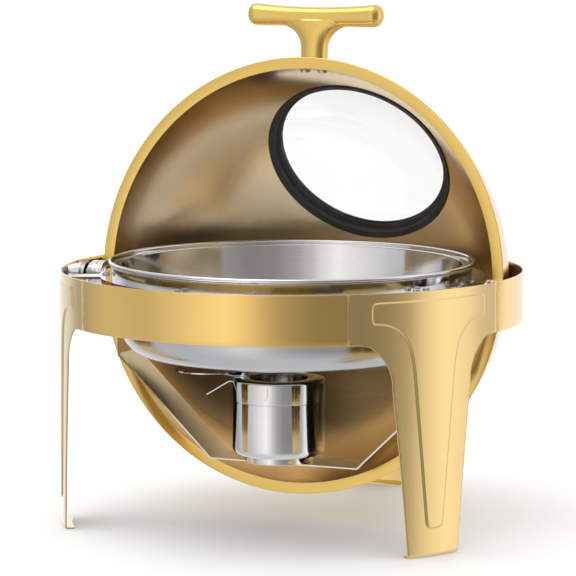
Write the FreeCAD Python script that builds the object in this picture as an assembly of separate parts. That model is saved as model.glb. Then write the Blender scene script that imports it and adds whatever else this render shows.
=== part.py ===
import FreeCAD, Part
import math
import os

# Round roll-top chafing dish. Millimetres, +Z up, front is -Y.
# Origin: on the floor, under the centre of the round band.
# The lid is modelled shut, in its own place over the pans, and is turned to its open rest pose
# about the pivot line at the end.

# ---- band and legs ----
BAND_R = 232.0            # outer radius of the round band
BAND_T = 1.5              # sheet thickness of the band and the legs
BAND_H = 49.0             # height of the band
BAND_TOP = 256.0          # floor to the band's top edge
SEAM_GAP = 0.3            # slit between a leg's panel and the band beside it
LEG_ANGLES = {"left": -60.0, "right": 60.0, "rear": 180.0}   # degrees from the front, + towards +X
PANEL_HALF = 22.5         # half of the arc that a leg's panel takes in the band, degrees
LEG_FLARE_HALF = 69.5     # half width of the leg where it leaves the band
LEG_KNEE_HALF = 47.0      # half width below the flare
LEG_FOOT_HALF = 30.0      # half width at the floor
LEG_KNEE_DROP = 45.0      # band's lower edge down to the knee
FOOT_DEPTH = 10.0         # turned-in foot flange
EMBOSS_H = 1.2            # how far the T-shaped panel is pressed outwards
EMBOSS_BAR_HALF = 67.5    # half width of the T's bar
EMBOSS_BAR_H = 20.0       # height of the T's bar
EMBOSS_EDGE = 9.0         # band's top edge down to the T's bar
EMBOSS_WAIST_HALF = 21.0  # half width of the T's stem below its shoulders
EMBOSS_TIP_HALF = 9.0     # half width of the T's stem at its lower end
EMBOSS_FLOOR = 28.0       # floor to the T's lower end

# ---- splices behind the seams ----
SPLICE_T = 1.5
SPLICE_HALF = 5.0         # half of a splice plate's arc, degrees
SPLICE_H = 36.0
STUD_D = 4.0
STUD_L = 4.1              # length of a weld stud from the band's inner face
NUT_AF = 7.0
NUT_T = 2.2

# ---- pivots ----
PIVOT_DROP = 16.0         # band's top edge down to the pivot line
PIVOT_PLATE_T = 2.0
PIVOT_PLATE_HALF = 26.0   # half width of the plate welded inside the band
PIVOT_PLATE_LOW = 31.0    # pivot line down to the plate's lower edge
PIVOT_PLATE_UP = 14.0
BRIDGE = 9.0              # how far the plate runs past the seam, degrees
BRIDGE_PITCH = 20.0       # between its two studs on the leg's panel
STUD_PIVOT_D = 10.0
PIVOT_FIT = 0.06          # radial running clearance on the pivot stud
BARREL_R = 14.0           # also the height of the shut lid's rim over the pivot line
BARREL_L = 12.0
LUG_T = 2.5
SIDE_PLAY = 0.3           # end play beside the turning barrel
WASHER_R = 9.0
WASHER_T = 1.5
CAPNUT_R = 6.0
CAPNUT_L = 9.0
STOP_ARM_T = 3.0
STOP_ARM_HALF = 4.0
STOP_ARM_OVER = 4.0       # stop arm's tip past the middle of the pin
STOP_PIN_R = 3.0
STOP_PIN_OUT = 7.0        # barrel's surface to the middle of a stop pin
STOP_GAP = 0.05           # gap left between arm and pin at each end of the roll
OPEN_ARM_ANGLE = 220.0    # stop arm in the open pose, degrees from +Y towards +Z

# ---- roll-top lid ----
LID_REAR_GAP = 0.4        # open lid to the tips of the rear splice studs
LID_RIM_W = 11.5
LID_LIP = 3.5             # dome's outer face to the rim's inner edge
LID_RIM_T = 1.5
LID_T = 1.2               # dome wall
LID_FORWARD = 7.5         # how far the shut lid's centre stands in front of the pivot line
LID_ROLL = 94.5           # degrees from shut to fully open
WINDOW_TILT = 38.0        # window's axis, degrees from the shut dome's top towards the front
WINDOW_R = 96.0           # radius of the hole in the dome
WINDOW_PROUD = 8.0        # dome's outer face to the glass's outer face
GASKET_LAND = 3.5         # gasket seen outside the hole's edge
GASKET_WALL = 2.0         # its wall inside the hole
GASKET_LIP = 3.0          # gasket over the edge of the glass
GASKET_PROUD = 1.2
GLASS_T = 3.0
GLASS_INSET = 3.0         # hole's edge to the edge of the glass

# ---- lid handle ----
GRIP_L = 146.0
GRIP_H = 22.0
GRIP_DISH = 4.5           # how much thinner the grip is in the middle
GRIP_D = 24.0
GRIP_OUT = 63.3           # dome's surface to the grip's outer face
STEM_HALF = 13.5
STEM_FLARE = 19.0         # radius of the flare from the stem into the grip
HANDLE_UP = 23.5          # rim plane to the handle's middle plane
HANDLE_EDGE = 4.0         # rounding of the casting's edges
HANDLE_SCREW_PITCH = 19.0
HANDLE_SCREW_D = 5.0
HANDLE_SCREW_L = 22.0
SCREW_HEAD_R = 4.5
SCREW_HEAD_T = 2.4

# ---- pan support ----
HOOP_FIT = 2.5            # water pan's wall to the hoop that carries it
HOOP_T = 1.5
HOOP_TOP = 4.0            # hoop's top above the band's top
HOOP_H = 11.5
HOOP_LEDGE = 13.0         # width of the hoop's ledge
ARM_ANGLE = 66.0          # side brackets, degrees either side of the front
ARM_HALF = 12.5
ARM_T = 2.5
ARM_PAD_H = 22.0
FRONT_ARM_HALF = 64.0     # half width of the wide front bracket
ARM_BOLT_D = 4.0

# ---- burner strap ----
STRAP_W = 45.0
STRAP_T = 1.5
STRAP_OUT = 4.0           # hoop's skirt to the strap's uprights
STRAP_FLAT_HALF = 80.0    # half of its level bottom
STRAP_DROP = 180.0        # pivot line to the strap's underside
STRAP_SLOPE = 44.0        # degrees
STRAP_EAR = 9.0

# ---- pans ----
PAN_T = 1.0
WATER_R = 176.0           # outer radius under its rim
WATER_DEPTH = 89.0
WATER_TAPER = 4.5         # degrees
WATER_CORNER = 26.0
WATER_RIM_OVER = 2.5      # water pan's rim past the hoop's skirt
FOOD_GAP = 3.5            # food pan's wall to the water pan's wall, at the rim
FOOD_DEPTH = 62.0
FOOD_TAPER = 6.0
FOOD_CORNER = 22.0
FOOD_RIM_IN = 0.7         # middle of the food pan's rolled edge, in from the water pan's rim
FOOD_BEAD_R = 2.1
PAN_GAP = 0.3

# ---- fuel burner ----
BURNER_X = -10.0
BURNER_Y = -10.0
FOOT_R = 34.0
FOOT_H = 7.0
FOOT_T = 2.0
CUP_R = 46.2              # outer radius just under the cap
CUP_T = 1.0
CUP_H = 55.0              # cup body under the cap
CUP_TAPER = -0.8          # degrees, wider at the bottom
CUP_CORNER = 9.0
NECK_STEP = 0.6
CAP_T = 1.0
CAP_H = 22.0
CAP_FIT = 0.3
CAP_LAND = 17.9           # width of the cap's top, around its opening
TAB_W = 16.0
TAB_OUT = 26.0
TAB_DROP = 14.0
TAB_ANGLE = -74.0         # degrees from the front, + towards +X
CLIP_W = 17.0
CLIP_H = 20.0
CLIP_T = 0.8
FLAP_OVER = 6.0           # snuffer disc past the opening's edge
FLAP_T = 1.2
FLAP_LIFT = 3.5           # disc above the cap's top face
FLAP_GAP = 0.2
RIVET_R = 2.5
RIVET_HEAD_R = 4.5
RIVET_IN = 8.4            # cap's outer face to the rivet

# ---- places that follow from the sizes ----
BAND_IN = BAND_R - BAND_T
BAND_LOW = BAND_TOP - BAND_H
PIVOT_Z = BAND_TOP - PIVOT_DROP
DOME_R = BAND_IN - STUD_L - BARREL_R - LID_REAR_GAP
RIM_IN = DOME_R - LID_LIP
LID_R = RIM_IN + LID_RIM_W
DOME_IN = DOME_R - LID_T
HOOP_HI = BAND_TOP + HOOP_TOP
HOOP_LO = HOOP_HI - HOOP_H
HOOP_IN = WATER_R + HOOP_FIT
HOOP_R = HOOP_IN + HOOP_T
HOOP_FLANGE_R = HOOP_R + HOOP_LEDGE
STRAP_X = HOOP_R + STRAP_OUT
STRAP_FLOOR = PIVOT_Z - STRAP_DROP
WATER_RIM_R = HOOP_R + WATER_RIM_OVER
FOOD_RIM_R = WATER_RIM_R - FOOD_RIM_IN
STOP_PIN_AT = BARREL_R + STOP_PIN_OUT
STOP_ARM_R = STOP_PIN_AT + STOP_ARM_OVER
PIVOT_PLATE_IN = BAND_IN - PIVOT_PLATE_T
# the turning stack starts where the plate's curved face is nearest to the centre
STACK_X = math.sqrt(PIVOT_PLATE_IN ** 2 - PIVOT_PLATE_HALF ** 2) - SIDE_PLAY
BARREL_X = STACK_X - STOP_ARM_T
LUG_X = BARREL_X - BARREL_L
WASHER_X = LUG_X - LUG_T - SIDE_PLAY
CAPNUT_X = WASHER_X - WASHER_T
STRAP_TOP = STRAP_FLOOR + STRAP_T
FOOT_TOP = STRAP_TOP + FOOT_H
CAP_LOW = FOOT_TOP + CUP_H
CAP_TOP = CAP_LOW + CAP_H
CAP_R = CUP_R - NECK_STEP + CAP_FIT + CAP_T
CAP_HOLE_R = CAP_R - CAP_LAND
RIVET_AT = CAP_R - RIVET_IN
FLAP_R = CAP_HOLE_R + FLAP_OVER

os.makedirs("parts", exist_ok=True)
V = FreeCAD.Vector
X, Y, Z = V(1, 0, 0), V(0, 1, 0), V(0, 0, 1)
ORIGIN = V(0, 0, 0)


def save(name, *solids):
    """Write one node: its solids stay separate."""
    shape = solids[0] if len(solids) == 1 else Part.makeCompound(list(solids))
    shape.exportStep("parts/%s.step" % name)


def polar(radius, degrees, z=0.0):
    """A point at an angle from the front, + towards +X."""
    a = math.radians(degrees)
    return V(radius * math.sin(a), -radius * math.cos(a), z)


def moved(shape, vector):
    out = shape.copy()
    out.translate(vector)
    return out


def turned(shape, degrees, axis=Z, centre=ORIGIN):
    out = shape.copy()
    out.rotate(centre, axis, degrees)
    return out


def mirrored(shape):
    return shape.mirror(ORIGIN, X)


def tube(r_in, r_out, z0, z1):
    return Part.makeCylinder(r_out, z1 - z0, V(0, 0, z0)).cut(
        Part.makeCylinder(r_in, z1 - z0 + 2, V(0, 0, z0 - 1)))


def box(x0, x1, y0, y1, z0, z1):
    return Part.makeBox(x1 - x0, y1 - y0, z1 - z0, V(x0, y0, z0))


def rod(radius, start, end):
    return Part.makeCylinder(radius, (end - start).Length, start, end - start)


def hexagon(across, start, end):
    """A hexagonal prism between two points."""
    axis = (end - start).normalize()
    side = axis.cross(Z if abs(axis.z) < 0.9 else X).normalize()
    other = axis.cross(side)
    r = across / math.sqrt(3)
    corners = []
    for k in range(7):
        a = math.radians(60 * k)
        corners.append(start + side * (r * math.cos(a)) + other * (r * math.sin(a)))
    return Part.Face(Part.makePolygon(corners)).extrude(axis * (end - start).dot(axis))


def arc_sector(r_in, r_out, z0, z1, a0, a1):
    """A curved strip of sheet between two angles from the front."""
    mid = (a0 + a1) / 2.0
    edges = [Part.Arc(polar(r_out, a0, z0), polar(r_out, mid, z0), polar(r_out, a1, z0)).toShape(),
             Part.makeLine(polar(r_out, a1, z0), polar(r_in, a1, z0)),
             Part.Arc(polar(r_in, a1, z0), polar(r_in, mid, z0), polar(r_in, a0, z0)).toShape(),
             Part.makeLine(polar(r_in, a0, z0), polar(r_out, a0, z0))]
    return Part.Face(Part.Wire(edges)).extrude(Z * (z1 - z0))


def spun(points, degrees=360.0):
    """Turn an outline of (radius, z) points and arcs about the Z axis. An arc is (mid, end)."""
    edges = []
    here = V(points[0][0], 0, points[0][1])
    for p in list(points[1:]) + [points[0]]:
        if isinstance(p[0], tuple):
            mid, end = V(p[0][0], 0, p[0][1]), V(p[1][0], 0, p[1][1])
            edges.append(Part.Arc(here, mid, end).toShape())
        else:
            end = V(p[0], 0, p[1])
            if (end - here).Length < 1e-6:
                continue
            edges.append(Part.makeLine(here, end))
        here = end
    return Part.Face(Part.Wire(edges)).revolve(ORIGIN, Z, degrees)


def vessel_wall(rt, zt, zb, taper, corner):
    """Points of one face of a round vessel: bottom centre, corner arc, top of the wall."""
    t = math.radians(taper)
    rc = rt - (zt - zb - corner + corner * math.sin(t)) * math.tan(t) - corner * math.cos(t)
    zc = zb + corner
    m = math.radians(-45 - taper / 2.0)
    start = (rc, zb)
    mid = (rc + corner * math.cos(m), zc + corner * math.sin(m))
    end = (rc + corner * math.cos(t), zc - corner * math.sin(t))
    return start, mid, end


def vessel(rt, zt, zb, taper, corner, wall, rim_r, rim_t):
    """A round pan with a flat rim. rt is the outer radius under the rim."""
    o0, om, o1 = vessel_wall(rt, zt, zb, taper, corner)
    inner = rt - wall / math.cos(math.radians(taper))
    i0, im, i1 = vessel_wall(inner, zt, zb + wall, taper, corner - wall)
    rise = rim_t * math.tan(math.radians(taper))
    return spun([(0, zb), o0, (om, o1), (rt, zt), (rim_r, zt), (rim_r, zt + rim_t),
                 (inner + rise, zt + rim_t), i1, (im, i0), (0, zb + wall)])


# ---- band, legs, splices ----

def outline_prism(points, degrees, near, far):
    """Extrude an outline of (sideways, z) points outwards along the direction at an angle."""
    wire = Part.makePolygon([V(s, -near, z) for s, z in points + points[:1]])
    return turned(Part.Face(wire).extrude(V(0, near - far, 0)), degrees)


def both_sides(half):
    """Close a right-hand outline, listed from the top down, with its mirror image."""
    return half + [(-s, z) for s, z in reversed(half)]


def leg_outline():
    flare = []
    steps = 10
    knee_z = BAND_LOW - LEG_KNEE_DROP
    for k in range(steps + 1):
        u = k / steps
        ease = (1 - u) ** 2.6
        flare.append((LEG_KNEE_HALF + (LEG_FLARE_HALF - LEG_KNEE_HALF) * ease,
                      BAND_LOW - 2.0 - (LEG_KNEE_DROP - 2.0) * u))
    lower = []
    for k in range(1, 7):
        u = k / 6.0
        s = LEG_KNEE_HALF + (LEG_FOOT_HALF - LEG_KNEE_HALF) * u + 3.5 * u * (u - 1)
        lower.append((s, knee_z * (1 - u)))
    root = (LEG_FLARE_HALF + 10.0, BAND_LOW + 1.0)
    return both_sides([root] + flare + lower)


def emboss_outline(inset=0.0):
    top = BAND_TOP - EMBOSS_EDGE
    bar_low = top - EMBOSS_BAR_H
    shoulder = EMBOSS_BAR_HALF - EMBOSS_WAIST_HALF
    half = [(EMBOSS_BAR_HALF, top), (EMBOSS_BAR_HALF, bar_low), (EMBOSS_BAR_HALF - 6, bar_low - 4)]
    steps = 8
    for k in range(1, steps + 1):
        u = k / steps
        half.append((EMBOSS_WAIST_HALF + (shoulder - 6) * (1 - u) ** 2.2, bar_low - 4 - 45 * u))
    half.append((EMBOSS_TIP_HALF + 3.5, EMBOSS_FLOOR + 28))
    half.append((EMBOSS_TIP_HALF, EMBOSS_FLOOR))
    if inset:
        half = [(s - inset, z - inset if z > bar_low else (z + inset if z <= EMBOSS_FLOOR else z))
                for s, z in half]
    return both_sides(half)


def leg(degrees):
    near, far = 60.0, BAND_R + 40.0
    a0, a1 = degrees - PANEL_HALF, degrees + PANEL_HALF
    slit = math.degrees(SEAM_GAP / 2 / BAND_R)
    panel = arc_sector(BAND_IN, BAND_R, BAND_LOW, BAND_TOP, a0 + slit, a1 - slit)
    sheet = tube(BAND_IN, BAND_R, 0, BAND_LOW + 1)
    column = sheet.common(outline_prism(leg_outline(), degrees, near, far))
    raised = tube(BAND_IN + EMBOSS_H, BAND_R + EMBOSS_H, 0, BAND_TOP)
    raised = raised.common(outline_prism(emboss_outline(), degrees, near, far))
    hollow = tube(BAND_IN - 1, BAND_IN + EMBOSS_H, 0, BAND_TOP)
    hollow = hollow.common(outline_prism(emboss_outline(BAND_T), degrees, near, far))
    foot = tube(BAND_R - FOOT_DEPTH, BAND_R, 0, BAND_T)
    foot_half = [(LEG_FOOT_HALF, 5), (LEG_FOOT_HALF, -5)]
    foot = foot.common(outline_prism(both_sides(foot_half), degrees, near, far))
    return panel.fuse([column, foot, raised]).cut(hollow).removeSplitter()


def splice_seams():
    """The seams that have a splice plate. The other two are bridged by the pivot plates."""
    front = [LEG_ANGLES["left"] + PANEL_HALF, LEG_ANGLES["right"] - PANEL_HALF]
    rear = [LEG_ANGLES["rear"] - PANEL_HALF, LEG_ANGLES["rear"] + PANEL_HALF]
    return front + rear


def band(a0, a1):
    slit = math.degrees(SEAM_GAP / 2 / BAND_R)
    return arc_sector(BAND_IN, BAND_R, BAND_LOW, BAND_TOP, a0 + slit, a1 - slit)


def weld_stud(degrees, z, length=STUD_L, from_r=BAND_IN):
    """A stud on the inside of the band, with its nut on the piece that it holds."""
    return rod(STUD_D / 2, polar(from_r, degrees, z), polar(from_r - length, degrees, z))


def stud_nut(degrees, z, seat_r):
    nut = hexagon(NUT_AF, polar(seat_r, degrees, z), polar(seat_r - NUT_T, degrees, z))
    return nut.cut(rod(STUD_D / 2, polar(seat_r + 5, degrees, z), polar(seat_r - 9, degrees, z)))


def splices():
    plates, studs, nuts = [], [], []
    z0 = BAND_LOW + (BAND_H - SPLICE_H) / 2
    seat = BAND_IN - SPLICE_T
    for seam in splice_seams():
        plate = arc_sector(seat, BAND_IN, z0, z0 + SPLICE_H, seam - SPLICE_HALF, seam + SPLICE_HALF)
        for side in (-1, 1):
            for z in (z0 + 9, z0 + SPLICE_H - 9):
                degrees = seam + side * SPLICE_HALF * 0.6
                stud = weld_stud(degrees, z)
                # the stud stands on the band's curved inner face, and the nut's seat is its flat
                flat = seat - 0.12
                stud = stud.common(Part.makeCylinder(BAND_IN, BAND_TOP))
                plate = plate.cut(rod(STUD_D / 2, polar(BAND_R, degrees, z), polar(seat - 9, degrees, z)))
                studs.append(stud)
                nuts.append(stud_nut(degrees, z, flat))
        plates.append(plate)
    return plates, studs, nuts


# ---- pivots: the right-hand side is made, the left-hand side is its mirror image ----

def bridge_studs():
    """Angle and heights of the studs that tie the pivot plate to the leg's panel."""
    degrees = LEG_ANGLES["right"] + PANEL_HALF - BRIDGE * 0.65
    middle = PIVOT_Z + (PIVOT_PLATE_UP - PIVOT_PLATE_LOW) / 2
    return degrees, [middle - BRIDGE_PITCH / 2, middle + BRIDGE_PITCH / 2]


def pivot_plate():
    """Welded inside the side band, and carried on past the seam onto the leg's panel."""
    reach = math.degrees(math.asin(PIVOT_PLATE_HALF / BAND_IN))
    plate = arc_sector(PIVOT_PLATE_IN, BAND_IN, PIVOT_Z - PIVOT_PLATE_LOW, PIVOT_Z + PIVOT_PLATE_UP,
                       LEG_ANGLES["right"] + PANEL_HALF - BRIDGE, 90 + reach)
    plate = plate.cut(rod(STUD_PIVOT_D / 2, V(200, 0, PIVOT_Z), V(BAND_R + 5, 0, PIVOT_Z)))
    for pin in stop_pins():
        plate = plate.cut(pin)
    degrees, heights = bridge_studs()
    for z in heights:
        plate = plate.cut(rod(STUD_D / 2, polar(BAND_R, degrees, z), polar(BAND_IN - 20, degrees, z)))
    return plate


def bridge_hardware():
    degrees, heights = bridge_studs()
    studs, nuts = [], []
    for z in heights:
        stud = weld_stud(degrees, z, STUD_L + PIVOT_PLATE_T - SPLICE_T)
        studs.append(stud.common(Part.makeCylinder(BAND_IN, BAND_TOP)))
        nuts.append(stud_nut(degrees, z, PIVOT_PLATE_IN - 0.12))
    return studs, nuts


def pivot_stud():
    stud = rod(STUD_PIVOT_D / 2, V(CAPNUT_X - CAPNUT_L * 0.7, 0, PIVOT_Z), V(BAND_R, 0, PIVOT_Z))
    return stud.common(Part.makeCylinder(BAND_IN, BAND_TOP + 50))


def axis_point(radius, degrees, x):
    """A point beside the pivot line, at an angle from +Y towards +Z."""
    a = math.radians(degrees)
    return V(x, radius * math.cos(a), PIVOT_Z + radius * math.sin(a))


def stop_pins():
    """One pin for the open pose and one for the shut pose."""
    spread = math.degrees(math.asin((STOP_ARM_HALF + STOP_PIN_R + STOP_GAP) / STOP_PIN_AT))
    pins = []
    for degrees in (OPEN_ARM_ANGLE - spread, OPEN_ARM_ANGLE + LID_ROLL + spread):
        pin = rod(STOP_PIN_R, axis_point(STOP_PIN_AT, degrees, STACK_X - STOP_ARM_T),
                  axis_point(STOP_PIN_AT, degrees, BAND_R))
        pins.append(pin.common(Part.makeCylinder(BAND_IN, BAND_TOP + 50)))
    return pins


def bore(x0, x1):
    return rod(STUD_PIVOT_D / 2 + PIVOT_FIT, V(x0, 0, PIVOT_Z), V(x1, 0, PIVOT_Z))


def barrel():
    """Turns on the stud. Drawn in the shut pose."""
    body = rod(BARREL_R, V(LUG_X, 0, PIVOT_Z), V(BARREL_X, 0, PIVOT_Z))
    return body.cut(bore(LUG_X - 5, STACK_X + 5))


def stop_arm():
    """Welded on the barrel's outer end. Drawn in the shut pose."""
    hub = rod(BARREL_R - 2, V(BARREL_X, 0, PIVOT_Z), V(STACK_X, 0, PIVOT_Z))
    finger = box(BARREL_X, STACK_X, 0, STOP_ARM_R, PIVOT_Z - STOP_ARM_HALF, PIVOT_Z + STOP_ARM_HALF)
    finger = turned(finger, OPEN_ARM_ANGLE + LID_ROLL, X, V(0, 0, PIVOT_Z))
    return hub.fuse(finger).cut(bore(LUG_X - 5, STACK_X + 5)).removeSplitter()


def hinge_lug():
    """Rounded plate under the lid's rim, on the barrel's inner end. Drawn in the shut pose."""
    x0, x1 = LUG_X - LUG_T, LUG_X
    ear = rod(BARREL_R, V(x0, 0, PIVOT_Z), V(x1, 0, PIVOT_Z))
    web = box(x0, x1, -BARREL_R, BARREL_R, PIVOT_Z, PIVOT_Z + BARREL_R)
    return ear.fuse(web).cut(bore(x0 - 5, x1 + 5)).removeSplitter()


def washer():
    ring = rod(WASHER_R, V(CAPNUT_X, 0, PIVOT_Z), V(WASHER_X, 0, PIVOT_Z))
    return ring.cut(rod(STUD_PIVOT_D / 2, V(CAPNUT_X - 1, 0, PIVOT_Z), V(WASHER_X + 1, 0, PIVOT_Z)))


def cap_nut():
    x1 = CAPNUT_X
    x0 = x1 - CAPNUT_L
    body = rod(CAPNUT_R, V(x0 + CAPNUT_R * 0.5, 0, PIVOT_Z), V(x1, 0, PIVOT_Z))
    dome = Part.makeSphere(CAPNUT_R, V(x0 + CAPNUT_R, 0, PIVOT_Z))
    body = body.fuse(dome).common(box(x0, x1, -20, 20, PIVOT_Z - 20, PIVOT_Z + 20))
    return body.cut(pivot_stud()).removeSplitter()


# ---- lid, drawn shut ----

LID_C = V(0, -LID_FORWARD, PIVOT_Z + BARREL_R)
WINDOW_AXIS = V(0, -math.sin(math.radians(WINDOW_TILT)), math.cos(math.radians(WINDOW_TILT)))


def window_plug(radius):
    """A long cylinder along the window's axis."""
    return Part.makeCylinder(radius, DOME_R * 1.5, LID_C, WINDOW_AXIS)


def shell(r_in, r_out):
    """The upper half of a hollow sphere about the lid's centre."""
    ball = Part.makeSphere(r_out, LID_C, Z, 0, 90, 360)
    return ball.cut(Part.makeSphere(r_in, LID_C, Z, -10, 90, 360))


def handle_screw_xz():
    return [(side * HANDLE_SCREW_PITCH / 2, LID_C.z + HANDLE_UP) for side in (-1, 1)]


def screw_seat_y():
    """Where the washer under a screw head stands, inside the dome."""
    far = HANDLE_SCREW_PITCH / 2 + SCREW_HEAD_R + 1.5
    up = HANDLE_UP + SCREW_HEAD_R + 1.5
    return LID_C.y - math.sqrt(DOME_IN ** 2 - far ** 2 - up ** 2)


def screw_shank(x, z):
    seat = screw_seat_y()
    return rod(HANDLE_SCREW_D / 2, V(x, seat, z), V(x, seat - HANDLE_SCREW_L, z))


def lid_dome():
    dome = shell(DOME_IN, DOME_R).cut(window_plug(WINDOW_R))
    dome = dome.cut(moved(Part.makeCylinder(LID_R, LID_RIM_T), LID_C))
    for x, z in handle_screw_xz():
        dome = dome.cut(screw_shank(x, z))
    return dome


def lid_rim():
    """A flat ring; the dome's wall stands on it."""
    rim = tube(RIM_IN, LID_R, 0, LID_RIM_T)
    return moved(rim, LID_C)


def window_glass():
    pane = shell(DOME_R + WINDOW_PROUD - GLASS_T, DOME_R + WINDOW_PROUD)
    return pane.common(window_plug(WINDOW_R - GLASS_INSET))


def window_gasket():
    """A deep ring: it clips round the hole's edge and holds the glass out in front of the dome."""
    rubber = shell(DOME_IN - GASKET_PROUD, DOME_R + WINDOW_PROUD + GASKET_PROUD)
    rubber = rubber.common(window_plug(WINDOW_R + GASKET_LAND))
    rubber = rubber.cut(window_plug(WINDOW_R - GLASS_INSET - GASKET_LIP))
    throat = Part.makeSphere(DOME_R + WINDOW_PROUD - GLASS_T - GASKET_PROUD, LID_C)
    rubber = rubber.cut(throat.common(window_plug(WINDOW_R - GASKET_WALL)))
    return rubber.cut(shell(DOME_IN, DOME_R).cut(window_plug(WINDOW_R))).cut(window_glass())


def handle_screws():
    screws, washers = [], []
    seat = screw_seat_y()
    for x, z in handle_screw_xz():
        disc = rod(SCREW_HEAD_R + 1.0, V(x, seat + 1.0, z), V(x, seat, z))
        washers.append(disc.cut(rod(HANDLE_SCREW_D / 2, V(x, seat + 2, z), V(x, seat - 1, z))))
        head = rod(SCREW_HEAD_R, V(x, seat + 1.0 + SCREW_HEAD_T, z), V(x, seat + 1.0, z))
        head = head.makeFillet(1.2, [head.Edges[0]] if head.Edges[0].CenterOfMass.y > seat + 2 else
                               [e for e in head.Edges if e.CenterOfMass.y > seat + 1.5 + SCREW_HEAD_T / 2])
        shank = rod(HANDLE_SCREW_D / 2, V(x, seat + 1.0, z), V(x, seat - HANDLE_SCREW_L, z))
        slot = box(x - 3.2, x + 3.2, seat + SCREW_HEAD_T, seat + 9, z - 0.5, z + 0.5)
        slot = slot.fuse(box(x - 0.5, x + 0.5, seat + SCREW_HEAD_T, seat + 9, z - 3.2, z + 3.2))
        screws.append(head.fuse(shank).cut(slot).removeSplitter())
    return screws, washers


def lid_handle():
    """T-shaped casting: a dished grip on a flared stem, standing out from the dome's front."""
    out = DOME_R + GRIP_OUT
    under = out - GRIP_H
    half = GRIP_L / 2
    r = GRIP_H / 2
    flare_z = under - STEM_FLARE
    root = DOME_R - 12
    k = math.sqrt(0.5)

    def p(s, d):
        return V(s, LID_C.y - d, LID_C.z + HANDLE_UP - GRIP_D / 2)

    fx, fz = STEM_HALF + STEM_FLARE, flare_z
    edges = [Part.Arc(p(-half + r, out), p(0, out - GRIP_DISH), p(half - r, out)).toShape(),
             Part.Arc(p(half - r, out), p(half, out - r), p(half - r, under)).toShape(),
             Part.makeLine(p(half - r, under), p(fx, under)),
             Part.Arc(p(fx, under), p(fx - STEM_FLARE * k, fz + STEM_FLARE * k), p(STEM_HALF, fz)).toShape(),
             Part.makeLine(p(STEM_HALF, fz), p(STEM_HALF, root)),
             Part.makeLine(p(STEM_HALF, root), p(-STEM_HALF, root)),
             Part.makeLine(p(-STEM_HALF, root), p(-STEM_HALF, fz)),
             Part.Arc(p(-STEM_HALF, fz), p(-fx + STEM_FLARE * k, fz + STEM_FLARE * k), p(-fx, under)).toShape(),
             Part.makeLine(p(-fx, under), p(-half + r, under)),
             Part.Arc(p(-half + r, under), p(-half, out - r), p(-half + r, out)).toShape()]
    body = Part.Face(Part.Wire(edges)).extrude(V(0, 0, GRIP_D))
    rounded = [e for e in body.Edges if abs(e.CenterOfMass.y - (LID_C.y - root)) > 1.0
               and abs(abs(e.CenterOfMass.z - LID_C.z - HANDLE_UP) - GRIP_D / 2) < 0.01]
    body = body.makeFillet(HANDLE_EDGE, rounded)
    body = body.cut(Part.makeSphere(DOME_R, LID_C))
    for x, z in handle_screw_xz():
        body = body.cut(screw_shank(x, z))
    return max(body.Solids, key=lambda s: s.Volume)


def opened(shape):
    """Turn a lid piece from shut to its open rest pose."""
    return turned(shape, -LID_ROLL, X, V(0, 0, PIVOT_Z))


# ---- pan support ----

def bolt(x, y, z_low, z_high, head_r=3.6, head_t=1.6):
    """Screw with a low round head on top, and a nut below."""
    shank = Part.makeCylinder(ARM_BOLT_D / 2, z_high - z_low + NUT_T, V(x, y, z_low - NUT_T))
    head = Part.makeCylinder(head_r, head_t, V(x, y, z_high))
    nut = hexagon(NUT_AF, V(x, y, z_low), V(x, y, z_low - NUT_T))
    return head.fuse(shank).removeSplitter(), nut.cut(shank)


def bolt_hole(x, y):
    return Part.makeCylinder(ARM_BOLT_D / 2, 60, V(x, y, HOOP_LO - 30))


FLANGE_BOLT_R = (HOOP_R + HOOP_FLANGE_R) / 2
ARM_BOLTS = {"left": [-ARM_ANGLE - 2, -ARM_ANGLE + 2], "right": [ARM_ANGLE - 2, ARM_ANGLE + 2],
             "front": [-12.0, 12.0]}
ARM_WIDTH = {"left": ARM_HALF, "right": ARM_HALF, "front": FRONT_ARM_HALF}
ARM_AT = {"left": -ARM_ANGLE, "right": ARM_ANGLE, "front": 0.0}
STRAP_BOLT_X = STRAP_X + STRAP_T + STRAP_EAR / 2 - 1.0
STRAP_BOLT_Y = STRAP_W / 2 - 9.0


def strap_bolts():
    return [(sx * STRAP_BOLT_X, sy * STRAP_BOLT_Y) for sx in (-1, 1) for sy in (-1, 1)]


def arm_bolts(side):
    return [polar(FLANGE_BOLT_R, a) for a in ARM_BOLTS[side]]


def support_hoop():
    skirt = tube(HOOP_IN, HOOP_R, HOOP_LO, HOOP_HI)
    ledge = tube(HOOP_R - 0.5, HOOP_FLANGE_R, HOOP_LO, HOOP_LO + HOOP_T)
    hoop = skirt.fuse(ledge)
    for side in ARM_BOLTS:
        for at in arm_bolts(side):
            hoop = hoop.cut(bolt_hole(at.x, at.y))
    for x, y in strap_bolts():
        hoop = hoop.cut(bolt_hole(x, y))
    return hoop.removeSplitter()


def arm(side):
    """Bracket: a level bar under the hoop's ledge, and a pad turned down inside the band."""
    half, degrees = ARM_WIDTH[side], ARM_AT[side]
    outline = [(half, 1000), (half, -1000)]
    window = outline_prism(both_sides(outline), degrees, 60, BAND_R + 40)
    level = tube(HOOP_R + 1.5, BAND_IN, HOOP_LO - ARM_T, HOOP_LO)
    pad = tube(BAND_IN - ARM_T, BAND_IN, HOOP_LO - ARM_PAD_H, HOOP_LO)
    body = level.fuse(pad).common(window)
    for at in arm_bolts(side):
        body = body.cut(bolt_hole(at.x, at.y))
    for a in pad_studs(side):
        body = body.cut(rod(STUD_D / 2, polar(BAND_R, a, pad_stud_z()), polar(BAND_IN - 20, a, pad_stud_z())))
    return body.removeSplitter()


def pad_studs(side):
    spread = math.degrees(ARM_WIDTH[side] * 0.55 / BAND_IN)
    return [ARM_AT[side] - spread, ARM_AT[side] + spread]


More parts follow.
